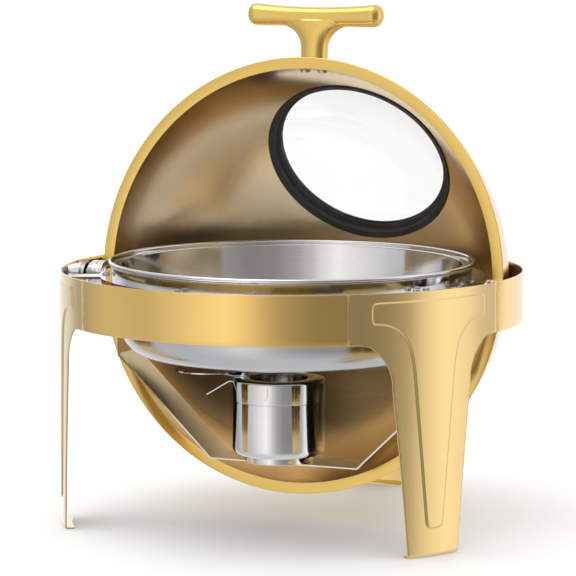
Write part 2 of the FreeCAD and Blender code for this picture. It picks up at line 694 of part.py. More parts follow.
def pad_stud_z():
    return HOOP_LO - ARM_PAD_H * 0.6


def arm_hardware():
    studs, nuts, bolts = [], [], []
    for side in ARM_AT:
        for a in pad_studs(side):
            stud = weld_stud(a, pad_stud_z(), STUD_L + ARM_T)
            studs.append(stud.common(Part.makeCylinder(BAND_IN, BAND_TOP)))
            nuts.append(stud_nut(a, pad_stud_z(), BAND_IN - ARM_T - 0.12))
        for at in arm_bolts(side):
            screw, nut = bolt(at.x, at.y, HOOP_LO - ARM_T, HOOP_LO + HOOP_T)
            bolts.append(screw)
            nuts.append(nut)
    return studs, nuts, bolts


def burner_strap():
    """One strip of sheet: ears under the hoop, uprights, slopes and a level bottom."""
    rise = (STRAP_X - STRAP_FLAT_HALF) * math.tan(math.radians(STRAP_SLOPE))
    half = STRAP_SLOPE / 2
    step = STRAP_T * math.tan(math.radians(half))
    lean = STRAP_T * math.tan(math.radians((90 - STRAP_SLOPE) / 2))
    top = HOOP_LO
    outer = [(STRAP_X + STRAP_T + STRAP_EAR, top), (STRAP_X + STRAP_T + STRAP_EAR, top - STRAP_T),
             (STRAP_X + STRAP_T, top - STRAP_T), (STRAP_X + STRAP_T, STRAP_FLOOR + rise - lean),
             (STRAP_FLAT_HALF + step, STRAP_FLOOR)]
    inner = [(STRAP_FLAT_HALF, STRAP_TOP), (STRAP_X, STRAP_TOP + rise), (STRAP_X, top)]
    loop = outer + [(-x, z) for x, z in reversed(outer)] + [(-x, z) for x, z in reversed(inner)] + inner
    wire = Part.makePolygon([V(x, -STRAP_W / 2, z) for x, z in loop + loop[:1]])
    strap = Part.Face(wire).extrude(V(0, STRAP_W, 0))
    for x, y in strap_bolts():
        strap = strap.cut(bolt_hole(x, y))
    return strap


def strap_hardware():
    pairs = [bolt(x, y, HOOP_LO - STRAP_T, HOOP_LO + HOOP_T) for x, y in strap_bolts()]
    return [p[0] for p in pairs], [p[1] for p in pairs]


# ---- pans ----

def water_pan():
    return vessel(WATER_R, HOOP_HI, HOOP_HI - WATER_DEPTH, WATER_TAPER, WATER_CORNER, PAN_T,
                  WATER_RIM_R, PAN_T)


def food_pan():
    """The bowl, and the ring with the rolled edge that it hangs by."""
    seat = HOOP_HI + PAN_T
    wall_r = WATER_R - PAN_T - FOOD_GAP
    pan = vessel(wall_r, seat, seat - FOOD_DEPTH, FOOD_TAPER, FOOD_CORNER, PAN_T, FOOD_RIM_R, PAN_T)
    bead = Part.makeTorus(FOOD_RIM_R, FOOD_BEAD_R, V(0, 0, seat + FOOD_BEAD_R + PAN_GAP))
    pan = pan.fuse(bead).removeSplitter()
    inside = Part.makeCylinder(wall_r, BAND_TOP + 50)
    return pan.common(inside), pan.cut(inside)


# ---- burner, drawn about the Z axis and then moved to its place on the strap ----

def placed(shape):
    return moved(shape, V(BURNER_X, BURNER_Y, 0))


def burner_foot():
    wall = tube(FOOT_R - FOOT_T, FOOT_R, STRAP_TOP, FOOT_TOP)
    return wall


def burner_cup():
    neck = CUP_R - NECK_STEP
    t = math.radians(CUP_TAPER)
    o0, om, o1 = vessel_wall(CUP_R, CAP_LOW, FOOT_TOP, CUP_TAPER, CUP_CORNER)
    hi = CAP_TOP - CAP_T - CAP_FIT
    inner = neck - CUP_T
    i0 = (inner - CUP_CORNER + CUP_T, FOOT_TOP + CUP_T)
    r = CUP_CORNER - CUP_T
    i1 = (inner, FOOT_TOP + CUP_T + r)
    im = (inner - r + r * math.sqrt(0.5), FOOT_TOP + CUP_T + r - r * math.sqrt(0.5))
    return spun([(0, FOOT_TOP), o0, (om, o1), (CUP_R, CAP_LOW), (neck, CAP_LOW), (neck, hi),
                 (inner, hi), i1, (im, i0), (0, FOOT_TOP + CUP_T)])


def rivet_at():
    return polar(RIVET_AT, -90)


def burner_cap():
    r_in = CUP_R - NECK_STEP + CAP_FIT
    edge = 2.0
    k = edge * (1 - math.sqrt(0.5))
    cap = spun([(r_in, CAP_LOW), (CAP_R, CAP_LOW), (CAP_R, CAP_TOP - edge),
                ((CAP_R - k, CAP_TOP - k), (CAP_R - edge, CAP_TOP)),
                (CAP_HOLE_R, CAP_TOP), (CAP_HOLE_R, CAP_TOP - CAP_T), (r_in, CAP_TOP - CAP_T)])
    at = rivet_at()
    return cap.cut(Part.makeCylinder(RIVET_R, 20, V(at.x, at.y, CAP_TOP - 10)))


def cap_tab():
    """Thumb tab welded on the cap's side, sloping down and away."""
    z = CAP_TOP - 3.0
    side = [(CAP_R - 4, z), (CAP_R + 3, z), (CAP_R + TAB_OUT, z - TAB_DROP),
            (CAP_R + TAB_OUT - 0.7, z - TAB_DROP - 1.1), (CAP_R + 2.6, z - 1.2), (CAP_R - 4, z - 1.2)]
    wire = Part.makePolygon([V(-TAB_W / 2, -r, h) for r, h in side + side[:1]])
    tab = Part.Face(wire).extrude(V(TAB_W, 0, 0))
    tab = tab.cut(Part.makeCylinder(CAP_R, 200))
    return turned(tab, TAB_ANGLE)


def cap_clip():
    """Rounded strip lying on the cap's side, at the front."""
    half = CLIP_W / 2
    sheet = tube(CAP_R, CAP_R + CLIP_T, CAP_TOP - CLIP_H, CAP_TOP - 2.5)
    bottom = CAP_TOP - CLIP_H + half
    window = box(-half, half, -CAP_R - 9, 0, bottom, CAP_TOP)
    window = window.fuse(Part.makeCylinder(half, CAP_R + 9, V(0, 0, bottom), V(0, -1, 0)))
    return sheet.common(window)


def snuffer_flap():
    """Disc that covers the cap's opening. It rests swung out to the left about its rivet."""
    at = rivet_at()
    low = CAP_TOP + FLAP_GAP
    high = CAP_TOP + FLAP_LIFT
    disc_x = at.x - RIVET_AT
    disc = Part.makeCylinder(FLAP_R, FLAP_T, V(disc_x, 0, high))
    reach = 12.0
    foot = Part.makeCylinder(9.0, FLAP_T, V(at.x, at.y, low))
    x0, x1 = at.x - reach + 6, at.x - reach - 8
    side = [(at.x, low), (x0, low), (x1, high), (disc_x, high), (disc_x, high + FLAP_T),
            (x1 + 0.3, high + FLAP_T), (x0 + 0.3, low + FLAP_T), (at.x, low + FLAP_T)]
    wire = Part.makePolygon([V(x, -FLAP_R, z) for x, z in side + side[:1]])
    arm_solid = Part.Face(wire).extrude(V(0, 2 * FLAP_R, 0))
    plan = Part.makePolygon([V(at.x, -9, low - 5), V(x0, -12, low - 5), V(disc_x, -FLAP_R + 3, low - 5),
                             V(disc_x, FLAP_R - 3, low - 5), V(x0, 12, low - 5), V(at.x, 9, low - 5),
                             V(at.x, -9, low - 5)])
    arm_solid = arm_solid.common(Part.Face(plan).extrude(Z * 30))
    flap = disc.fuse([foot, arm_solid])
    return flap.cut(Part.makeCylinder(RIVET_R + PIVOT_FIT, 30, V(at.x, at.y, CAP_TOP - 10))).removeSplitter()


def flap_rivet():
    at = rivet_at()
    z = CAP_TOP + FLAP_GAP + FLAP_T + FLAP_GAP
    shank = Part.makeCylinder(RIVET_R, z + 0.5 - CAP_TOP + CAP_T, V(at.x, at.y, CAP_TOP - CAP_T))
    head = Part.makeCylinder(RIVET_HEAD_R, 1.2, V(at.x, at.y, z))
    return head.fuse(shank).removeSplitter()


# ---- write every node ----

for side, angle in LEG_ANGLES.items():
    save("leg_" + side, leg(angle))
left, right = LEG_ANGLES["left"], LEG_ANGLES["right"]
rear = LEG_ANGLES["rear"]
save("band_front", band(left + PANEL_HALF, right - PANEL_HALF))
save("band_right", band(right + PANEL_HALF, rear - PANEL_HALF))
save("band_left", band(-rear + PANEL_HALF, left - PANEL_HALF))
plates, studs, nuts = splices()
more_studs, more_nuts = bridge_hardware()
studs += more_studs + [mirrored(s) for s in more_studs]
nuts += more_nuts + [mirrored(n) for n in more_nuts]
save("splice_plates", *plates)
save("splice_studs", *studs)
save("splice_nuts", *nuts)

for side, place in (("right", lambda s: s), ("left", mirrored)):
    save("pivot_plate_" + side, place(pivot_plate()))
    save("pivot_stud_" + side, place(pivot_stud()))
    save("stop_pins_" + side, *[place(p) for p in stop_pins()])
    save("hub_washer_" + side, place(washer()))
    save("cap_nut_" + side, place(cap_nut()))
    save("hub_barrel_" + side, opened(place(barrel())))
    save("stop_arm_" + side, opened(place(stop_arm())))
    save("hinge_lug_" + side, opened(place(hinge_lug())))
    save("support_arm_" + side, arm(side))

save("support_arm_front", arm("front"))
save("support_hoop", support_hoop())
studs, nuts, bolts = arm_hardware()
save("arm_studs", *studs)
save("arm_nuts", *nuts)
save("arm_screws", *bolts)
save("burner_strap", burner_strap())
screws, nuts = strap_hardware()
save("strap_screws", *screws)
save("strap_nuts", *nuts)

save("lid_dome", opened(lid_dome()))
save("lid_rim", opened(lid_rim()))
save("window_glass", opened(window_glass()))
save("window_gasket", opened(window_gasket()))
save("lid_handle", opened(lid_handle()))
screws, washers = handle_screws()
save("handle_screws", *[opened(s) for s in screws])
save("handle_washers", *[opened(w) for w in washers])

save("water_pan", water_pan())
bowl, edge = food_pan()
save("food_pan", bowl)
save("food_pan_rim", edge)

save("burner_foot", placed(burner_foot()))
save("burner_cup", placed(burner_cup()))
save("burner_cap", placed(burner_cap()))
save("cap_tab", placed(cap_tab()))
save("cap_clip", placed(cap_clip()))
save("snuffer_flap", placed(snuffer_flap()))
save("flap_rivet", placed(flap_rivet()))
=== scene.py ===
import math

import bmesh
import bpy
from mathutils import Matrix, Vector
from mathutils.geometry import delaunay_2d_cdt


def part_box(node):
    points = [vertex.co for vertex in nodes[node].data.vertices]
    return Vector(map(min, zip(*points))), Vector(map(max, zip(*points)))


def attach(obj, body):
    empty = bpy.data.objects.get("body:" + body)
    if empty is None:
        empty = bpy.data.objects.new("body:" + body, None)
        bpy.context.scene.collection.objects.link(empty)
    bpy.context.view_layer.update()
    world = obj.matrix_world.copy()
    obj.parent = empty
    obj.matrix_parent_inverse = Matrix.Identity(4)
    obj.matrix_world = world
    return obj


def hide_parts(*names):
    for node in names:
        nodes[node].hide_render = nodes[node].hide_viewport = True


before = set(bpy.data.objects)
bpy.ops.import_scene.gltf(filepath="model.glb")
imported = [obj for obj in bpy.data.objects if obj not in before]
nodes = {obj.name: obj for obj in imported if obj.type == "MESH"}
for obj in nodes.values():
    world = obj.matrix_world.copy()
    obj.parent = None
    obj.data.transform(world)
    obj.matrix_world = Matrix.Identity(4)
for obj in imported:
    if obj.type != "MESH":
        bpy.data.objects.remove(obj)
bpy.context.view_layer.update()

# Round roll-top chafing dish in satin gold and stainless steel, lid rolled open.
# Everything is in metres, in the model's own frame: +Z up, -Y the front.

# ---- where things are ----
BAND_LOW, BAND_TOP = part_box("band_front")[0].z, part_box("band_front")[1].z
PIVOT_Z = 0.240                     # height of the lid's hinge
LID_CENTRE = (0.0, 0.0145, 0.2464)  # centre of the open lid's sphere
LID_TILT = math.radians(-94.5)      # turns the lid's own axis from up to back
BURNER_AXIS = (-0.010, -0.010, 0.0)

# ---- how meshes are finished ----
MERGE = 2e-6                        # points nearer than this are one
MERGE_CAD = 4e-6                    # the same for meshes that come from the CAD
SHARP_TURNED = 35.0                 # edges sharper than this stay sharp, in degrees
SHARP_SHEET = 50.0
ACROSS_CORNERS = 0.57735            # a hexagon's outer radius over its width


# ---- node nets for the finishes ----
class Net:
    """Adds shader nodes to a tree, each with its inputs given by name."""

    def __init__(self, tree):
        self.tree = tree

    def add(self, kind, inputs=None, **settings):
        node = self.tree.nodes.new(kind)
        for key, value in settings.items():
            setattr(node, key, value)
        for key, value in (inputs or {}).items():
            socket = node.inputs[key]
            if isinstance(value, bpy.types.NodeSocket):
                self.tree.links.new(value, socket)
            else:
                socket.default_value = value
        return node

    def math(self, operation, a, b=0.0):
        return self.add("ShaderNodeMath", {0: a, 1: b}, operation=operation).outputs[0]

    def blend(self, factor, a, b):
        node = self.add("ShaderNodeMix", data_type="RGBA")
        for socket, value in (("Factor_Float", factor), ("A_Color", a), ("B_Color", b)):
            target = next(s for s in node.inputs if s.identifier == socket)
            if isinstance(value, bpy.types.NodeSocket):
                self.tree.links.new(value, target)
            else:
                target.default_value = value
        return next(s for s in node.outputs if s.identifier == "Result_Color")

    def remap(self, value, low, high, to_low, to_high):
        return self.add("ShaderNodeMapRange", {"Value": value, "From Min": low, "From Max": high,
                                               "To Min": to_low, "To Max": to_high}).outputs[0]


def new_finish(name):
    finish = bpy.data.materials.new(name)
    finish.use_nodes = True
    finish.node_tree.nodes.clear()
    net = Net(finish.node_tree)
    shader = net.add("ShaderNodeBsdfPrincipled")
    net.add("ShaderNodeOutputMaterial", {"Surface": shader.outputs[0]})
    return finish, net, shader


def round_coords(net, centre, tilt=0.0):
    """Angle, radius and height about a piece's own turning axis."""
    place = net.add("ShaderNodeTexCoord").outputs["Object"]
    own = net.add("ShaderNodeMapping", {"Vector": place, "Location": centre,
                                        "Rotation": (tilt, 0, 0)}, vector_type="TEXTURE").outputs[0]
    split = net.add("ShaderNodeSeparateXYZ", {0: own})
    x, y, z = split.outputs
    angle = net.math("ARCTAN2", x, net.math("MULTIPLY", y, -1.0))
    radius = net.math("SQRT", net.math("ADD", net.math("MULTIPLY", x, x), net.math("MULTIPLY", y, y)))
    return angle, radius, z


def grain_vector(net, kind, centre, tilt, along, across):
    """Coordinates stretched along the polishing lines."""
    if kind == "turned":
        angle, radius, z = round_coords(net, centre, tilt)
        return net.add("ShaderNodeCombineXYZ", {0: net.math("MULTIPLY", angle, along * 0.2),
                                                1: net.math("MULTIPLY", radius, across),
                                                2: net.math("MULTIPLY", z, across)}).outputs[0]
    place = net.add("ShaderNodeTexCoord").outputs["Object"]
    scale = {"upright": (across, across, along), "level": (along, along, across),
             "plain": (along, along, along)}[kind]
    return net.add("ShaderNodeVectorMath", {0: place, 1: scale}, operation="MULTIPLY").outputs[0]


def metal(name, colour, rough, kind="plain", centre=(0, 0, 0), tilt=0.0, along=6.0, across=1800.0,
          grain=0.08, bump=0.06, coat=0.0, coat_rough=0.2, coat_ior=1.5, stain=0.06, dents=0.0):
    """A metal sheet or casting: polishing lines, faint smears and uneven gloss."""
    finish, net, shader = new_finish(name)
    lines = net.add("ShaderNodeTexNoise", {"Vector": grain_vector(net, kind, centre, tilt, along, across),
                                           "Scale": 1.0, "Detail": 4.0, "Roughness": 0.65}).outputs[0]
    place = net.add("ShaderNodeTexCoord").outputs["Object"]
    smear = net.add("ShaderNodeTexNoise", {"Vector": place, "Scale": 14.0, "Detail": 3.0,
                                           "Distortion": 0.6}).outputs[0]
    speck = net.add("ShaderNodeTexNoise", {"Vector": place, "Scale": 420.0, "Detail": 2.0}).outputs[0]
    shade = net.math("ADD", net.remap(lines, 0.3, 0.7, -0.5, 0.5), net.remap(smear, 0.3, 0.7, -1.0, 1.0))
    dark = tuple(c * (1.0 - 2.2 * stain) for c in colour) + (1.0,)
    tone = net.remap(shade, -1.4, 1.4, 0.0, 1.0)
    shader.inputs["Metallic"].default_value = 1.0
    net.tree.links.new(net.blend(tone, dark, tuple(colour) + (1.0,)), shader.inputs["Base Color"])
    gloss = net.math("ADD", net.remap(lines, 0.25, 0.75, -grain, grain),
                     net.remap(smear, 0.3, 0.7, -0.35 * grain, 0.5 * grain))
    net.tree.links.new(net.math("MAXIMUM", net.math("ADD", gloss, rough), 0.02), shader.inputs["Roughness"])
    height = net.math("ADD", lines, net.math("MULTIPLY", speck, 0.3))
    if dents:
        wide = net.add("ShaderNodeTexNoise", {"Vector": place, "Scale": 22.0, "Detail": 1.0}).outputs[0]
        height = net.math("ADD", height, net.math("MULTIPLY", wide, dents))
    raised = net.add("ShaderNodeBump", {"Height": height, "Strength": bump, "Distance": 0.0004})
    net.tree.links.new(raised.outputs[0], shader.inputs["Normal"])
    if coat:
        shader.inputs["Coat Weight"].default_value = coat
        shader.inputs["Coat Roughness"].default_value = coat_rough
        shader.inputs["Coat IOR"].default_value = coat_ior
    return finish


GOLD = (0.88, 0.57, 0.13)
gold_band = metal("satin gold, lines around the band", GOLD, 0.17, "turned", grain=0.035, bump=0.03,
                  coat=0.7, coat_rough=0.14, coat_ior=2.1, stain=0.03)
gold_leg = metal("satin gold, lines down the leg", (0.82, 0.555, 0.165), 0.18, "upright", along=5.0,
                 grain=0.035, bump=0.03, coat=0.85, coat_rough=0.15, coat_ior=2.2, stain=0.03)
RIM_GOLD = (0.80, 0.55, 0.155)
gold_rim = metal("satin gold, lid rim", RIM_GOLD, 0.24, "turned", LID_CENTRE, LID_TILT, grain=0.04, bump=0.03,
                 coat=0.3, coat_rough=0.25, stain=0.03)
gold_handle = metal("satin gold, cast handle", RIM_GOLD, 0.25, along=260.0, grain=0.03, bump=0.008, coat=0.25,
                    coat_rough=0.28, stain=0.03)
lid_sheet = metal("polished gold-toned lid sheet", (0.93, 0.74, 0.475), 0.22, "turned", LID_CENTRE, LID_TILT,
                  along=4.0, across=900.0, grain=0.04, bump=0.02, dents=0.15, stain=0.03)
polished_steel = metal("polished steel, turned", (0.80, 0.80, 0.81), 0.10, "turned", across=1500.0,
                       grain=0.04, bump=0.02)
bowl_steel = metal("satin steel, pan", (0.66, 0.67, 0.69), 0.22, "turned", across=1400.0, grain=0.08,
                   bump=0.05)
burner_steel = metal("polished steel, burner", (0.82, 0.82, 0.83), 0.09, "turned", BURNER_AXIS,
                     across=1500.0, grain=0.03, bump=0.02)
strip_steel = metal("brushed steel strip", (0.78, 0.77, 0.74), 0.16, "level", along=8.0, across=1500.0)
chrome = metal("bright plated hub", (0.88, 0.88, 0.89), 0.05, along=200.0, grain=0.02, bump=0.01)
# The splice plates seen through the slits beside the legs are darkened to a brown as painted shade, so that
# the seams read dark.
seam_shade_steel = metal("splice plate steel, darkened as painted seam shade", (0.30, 0.27, 0.22), 0.45, along=300.0, grain=0.08,
                   bump=0.08)
plain_steel = metal("plain steel hardware", (0.68, 0.67, 0.65), 0.24, along=500.0, grain=0.06, bump=0.05)


def rubber():
    finish, net, shader = new_finish("black rubber")
    place = net.add("ShaderNodeTexCoord").outputs["Object"]
    pores = net.add("ShaderNodeTexNoise", {"Vector": place, "Scale": 900.0, "Detail": 3.0}).outputs[0]
    dust = net.add("ShaderNodeTexNoise", {"Vector": place, "Scale": 30.0, "Detail": 4.0}).outputs[0]
    tone = net.blend(net.remap(dust, 0.35, 0.7, 0.0, 1.0), (0.022, 0.022, 0.023, 1), (0.05, 0.048, 0.045, 1))
    net.tree.links.new(tone, shader.inputs["Base Color"])
    net.tree.links.new(net.remap(dust, 0.3, 0.7, 0.42, 0.62), shader.inputs["Roughness"])
    raised = net.add("ShaderNodeBump", {"Height": pores, "Strength": 0.15, "Distance": 0.0003})
    net.tree.links.new(raised.outputs[0], shader.inputs["Normal"])
    return finish


def glass():
    finish, net, shader = new_finish("clear window glass")
    place = net.add("ShaderNodeTexCoord").outputs["Object"]
    haze = net.add("ShaderNodeTexNoise", {"Vector": place, "Scale": 18.0, "Detail": 5.0}).outputs[0]
    net.tree.links.new(net.remap(haze, 0.35, 0.75, 0.0, 0.05), shader.inputs["Roughness"])
    shader.inputs["Base Color"].default_value = (0.96, 0.97, 0.97, 1)
    shader.inputs["Transmission Weight"].default_value = 1.0
    shader.inputs["IOR"].default_value = 1.47
    wave = net.add("ShaderNodeTexNoise", {"Vector": place, "Scale": 9.0, "Detail": 1.0}).outputs[0]
    raised = net.add("ShaderNodeBump", {"Height": wave, "Strength": 0.05, "Distance": 0.0005})
    net.tree.links.new(raised.outputs[0], shader.inputs["Normal"])
    return finish


black_rubber, window_glass = rubber(), glass()

FINISHES = [
    (gold_band, ["band_"]), (gold_leg, ["leg_"]), (gold_rim, ["lid_rim"]), (gold_handle, ["lid_handle"]),
    (lid_sheet, ["lid_dome"]), (bowl_steel, ["water_pan"]),
    (polished_steel, ["food_pan", "support_hoop"]),
    (burner_steel, ["burner_cup", "burner_cap", "burner_foot", "cap_tab", "snuffer_flap",
                    "flap_rivet"]),
    (strip_steel, ["burner_strap", "support_arm", "cap_clip"]),
    (chrome, ["hub_", "cap_nut", "hinge_lug", "stop_", "pivot_"]),
    (black_rubber, ["window_gasket"]), (window_glass, ["window_glass"]),
    (seam_shade_steel, ["splice_plates"]), (plain_steel, ["splice_", "arm_", "strap_", "handle_"]),
]
for name, piece in nodes.items():
    finish = next(f for f, starts in FINISHES if any(name.startswith(s) for s in starts))
    piece.data.materials.clear()
    piece.data.materials.append(finish)


# ---- making and placing meshes ----
def link(name, data):
    piece = bpy.data.objects.new(name, data)
    bpy.context.scene.collection.objects.link(piece)
    return piece


def neat(mesh, merge):
    """Closes the seams, points the faces outwards and keeps the real edges sharp."""
    shape = bmesh.new()
    shape.from_mesh(mesh)
    bmesh.ops.remove_doubles(shape, verts=shape.verts, dist=merge)
    bmesh.ops.recalc_face_normals(shape, faces=shape.faces)
    shape.to_mesh(mesh)
    shape.free()
    mesh.shade_smooth()
    mesh.set_sharp_from_angle(angle=math.radians(SHARP_TURNED))


def place(piece, body, slot, *replaced):
    """Puts a finished piece on its body, in place of the nodes that it stands for."""
    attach(piece, body)
    if replaced:
        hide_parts(*replaced)
    return piece


def made_by_rule(name, base, tree, values, merge=MERGE):
    """Runs a node tree over a base mesh and keeps the result as a plain mesh."""
    piece = link(name, base)
    rule = piece.modifiers.new("rule", "NODES")
    rule.node_group = tree
    for socket in tree.interface.items_tree:
        if socket.item_type == "SOCKET" and socket.in_out == "INPUT" and socket.name in values:
            rule[socket.identifier] = values[socket.name]
    piece.update_tag()
    graph = bpy.context.evaluated_depsgraph_get()
    graph.update()
    mesh = bpy.data.meshes.new_from_object(piece.evaluated_get(graph), depsgraph=graph)
    piece.modifiers.remove(rule)
    piece.data = mesh
    mesh.name = name
    neat(mesh, merge)
    return piece


def new_rule(name, *inputs):
    """A geometry tree with its named inputs, each (name, socket kind, value)."""
    tree = bpy.data.node_groups.new(name, "GeometryNodeTree")
    tree.interface.new_socket("Base", in_out="INPUT", socket_type="NodeSocketGeometry")
    tree.interface.new_socket("Geometry", in_out="OUTPUT", socket_type="NodeSocketGeometry")
    for title, kind, value in inputs:
        socket = tree.interface.new_socket(title, in_out="INPUT", socket_type="NodeSocket" + kind)
        if value is not None:
            socket.default_value = value
    net = Net(tree)
    return tree, net, net.add("NodeGroupInput").outputs


def end_rule(net, geometry, finish):
    """Makes the result real and gives it its finish."""
    real = net.add("GeometryNodeRealizeInstances", {0: geometry}).outputs[0]
    painted = net.add("GeometryNodeSetMaterial", {"Geometry": real, "Material": finish}).outputs[0]
    net.add("NodeGroupOutput", {"Geometry": painted})


def turning_rule():
    """Sweeps a closed outline of (radius, 0, height) points round an axis."""
    tree, net, given = new_rule("turned piece", ("Segments", "Int", 144), ("Start", "Float", 0.0),
                                ("Sweep", "Float", math.tau), ("Turn", "Vector", (0, 0, 0)),
                                ("Centre", "Vector", (0, 0, 0)), ("Finish", "Material", None))
    points = net.add("GeometryNodeAttributeDomainSize", {0: given["Base"]}).outputs["Point Count"]
    rows = net.math("ADD", points, 1.0)
    columns = net.math("ADD", given["Segments"], 1.0)
    grid = net.add("GeometryNodeMeshGrid", {"Vertices X": columns, "Vertices Y": rows}).outputs[0]
    index = net.add("GeometryNodeInputIndex").outputs[0]
    row = net.math("MODULO", net.math("MODULO", index, rows), points)
    column = net.math("FLOOR", net.math("DIVIDE", net.math("ADD", index, 0.01), rows))
    where = net.add("GeometryNodeInputPosition").outputs[0]
    point = net.add("GeometryNodeSampleIndex", {"Geometry": given["Base"], "Index": row},
                    data_type="FLOAT_VECTOR", domain="POINT")
    value = next(s for s in point.inputs if s.name == "Value" and s.enabled)
    net.tree.links.new(where, value)
    taken = next(s for s in point.outputs if s.enabled)
    radius, _, height = net.add("ShaderNodeSeparateXYZ", {0: taken}).outputs
    angle = net.math("ADD", given["Start"],
                     net.math("MULTIPLY", column, net.math("DIVIDE", given["Sweep"], given["Segments"])))
    spot = net.add("ShaderNodeCombineXYZ", {0: net.math("MULTIPLY", radius, net.math("COSINE", angle)),
                                            1: net.math("MULTIPLY", radius, net.math("SINE", angle)),
                                            2: height}).outputs[0]
    swept = net.add("GeometryNodeSetPosition", {"Geometry": grid, "Position": spot}).outputs[0]
    closed = net.add("GeometryNodeMergeByDistance", {"Geometry": swept, "Distance": MERGE}).outputs[0]
    stood = net.add("GeometryNodeTransform", {"Geometry": closed, "Translation": given["Centre"],
                                              "Rotation": given["Turn"]}).outputs[0]
    end_rule(net, stood, given["Finish"])
    return tree


def joined(net, *meshes):
    both = net.add("GeometryNodeJoinGeometry")
    for mesh in meshes:
        net.tree.links.new(mesh, both.inputs[0])
    return both.outputs[0]


def raised_by(net, mesh, height):
    step = net.add("ShaderNodeCombineXYZ", {2: height}).outputs[0]
    return net.add("GeometryNodeTransform", {"Geometry": mesh, "Translation": step}).outputs[0]


def fastener_rule():
    """Hexagon nuts with a short threaded end, on points that carry the way they face."""
    tree, net, given = new_rule("fasteners", ("Across flats", "Float", 0.007),
                                ("Nut height", "Float", 0.0022), ("Thread radius", "Float", 0.002),
                                ("Thread length", "Float", 0.0004), ("Pitch", "Float", 0.0007),
                                ("Finish", "Material", None))
    toward = net.add("GeometryNodeInputNamedAttribute", {"Name": "toward"},
                     data_type="FLOAT_VECTOR").outputs["Attribute"]
    facing = net.add("FunctionNodeAlignRotationToVector", {"Vector": toward}, axis="Z").outputs[0]
    hexagon = net.add("GeometryNodeMeshCylinder", {
        "Vertices": 6, "Radius": net.math("MULTIPLY", given["Across flats"], ACROSS_CORNERS),
        "Depth": net.math("MULTIPLY", given["Nut height"], 0.86)}).outputs["Mesh"]
    faced = net.add("GeometryNodeMeshCylinder", {
        "Vertices": 28, "Radius": net.math("MULTIPLY", given["Across flats"], 0.48),
        "Depth": given["Nut height"]}).outputs["Mesh"]
    nut = raised_by(net, joined(net, hexagon, faced), net.math("MULTIPLY", given["Nut height"], 0.5))
    ridge_middle = net.math("MULTIPLY", given["Thread radius"], 0.93)
    helix = net.add("GeometryNodeCurveSpiral", {
        "Resolution": 14, "Rotations": net.math("DIVIDE", given["Thread length"], given["Pitch"]),
        "Start Radius": ridge_middle, "End Radius": ridge_middle,
        "Height": given["Thread length"]}).outputs[0]
    ridge = net.add("GeometryNodeCurvePrimitiveCircle", {
        "Resolution": 4, "Radius": net.math("MULTIPLY", given["Pitch"], 0.4)}, mode="RADIUS").outputs[0]
    ridges = net.add("GeometryNodeCurveToMesh", {"Curve": helix, "Profile Curve": ridge,
                                                 "Fill Caps": True}).outputs[0]
    core = net.add("GeometryNodeMeshCylinder", {
        "Vertices": 20, "Radius": net.math("MULTIPLY", given["Thread radius"], 0.9),
        "Depth": given["Thread length"]}).outputs["Mesh"]
    core = raised_by(net, core, net.math("MULTIPLY", given["Thread length"], 0.5))
    stud = raised_by(net, joined(net, ridges, core), given["Nut height"])
    set_out = net.add("GeometryNodeInstanceOnPoints", {
        "Points": given["Base"], "Instance": joined(net, nut, stud), "Rotation": facing}).outputs[0]
    end_rule(net, set_out, given["Finish"])
    return tree


def rounded(corners, steps=5):
    """A closed outline from (radius, height, rounding) corners, as a mesh of points."""
    points = []
    count = len(corners)
    for k, (r, z, size) in enumerate(corners):
        here = Vector((r, z))
        if not size:
            points.append(here)
            continue
        before = Vector(corners[k - 1][:2]) - here
        after = Vector(corners[(k + 1) % count][:2]) - here
        half = before.angle(after) / 2
        run = min(size / math.tan(half), before.length * 0.49, after.length * 0.49)
        start, stop = here + before.normalized() * run, here + after.normalized() * run
        size = run * math.tan(half)
        inward = (before.normalized() + after.normalized()).normalized()
        middle = here + inward * (size / math.sin(half))
        first = start - middle
        swing = first.angle_signed(stop - middle)
        points += [middle + Matrix.Rotation(-swing * i / steps, 2) @ first for i in range(steps + 1)]
    mesh = bpy.data.meshes.new("outline")
    mesh.from_pydata([(p.x, 0, p.y) for p in points], [], [])
    return mesh


def turned(name, corners, finish, body, slot, *replaced, segments=144, steps=5, **where):
    """Turns a piece from its outline and puts it in place of its nodes."""
    values = {"Segments": segments, "Finish": finish, **where}
    piece = made_by_rule(name, rounded(corners, steps), TURNING, values)
    return place(piece, body, slot, *replaced)


# ---- sheet pieces on the round band ----
BAND_R = 0.232                      # outer radius of the band
SHEET = 0.0015                      # thickness of the band and the legs
SLIT = 0.0003 / BAND_R              # half of the slit beside a leg, as an angle
PANEL_HALF = math.radians(22.5)     # half of a leg's arc in the band
FOOT_BEND = 0.003                   # outer radius of the foot's bend
FOOT_DEPTH = 0.010                  # turned-in foot
FOOT_HALF = 0.030                   # half width at the foot
KNEE_HALF = 0.047                   # half width at the knee
FLARE = 0.0225                      # how much wider the leg is where it leaves the band
KNEE_DROP = 0.045                   # band's lower edge down to the knee
PRESS_RISE = 0.0012                 # how far the T stands out
PRESS_SLOPE = 0.0018                # width of the slope round the T
PRESS_STEP = 0.0012                 # spacing of mesh points along the T's line
PRESS_CLEAR = 0.0026                # other mesh points stay this far from the line
PRESS_ROWS = (-0.0016, -0.0009, 0.0, 0.0009, 0.0016)    # rows of mesh points across the slope
EDGE_BREAK = 0.0002                 # rounding of the sheet's edges


def both_sides(half):
    return half + [(-s, h) for s, h in reversed(half)]


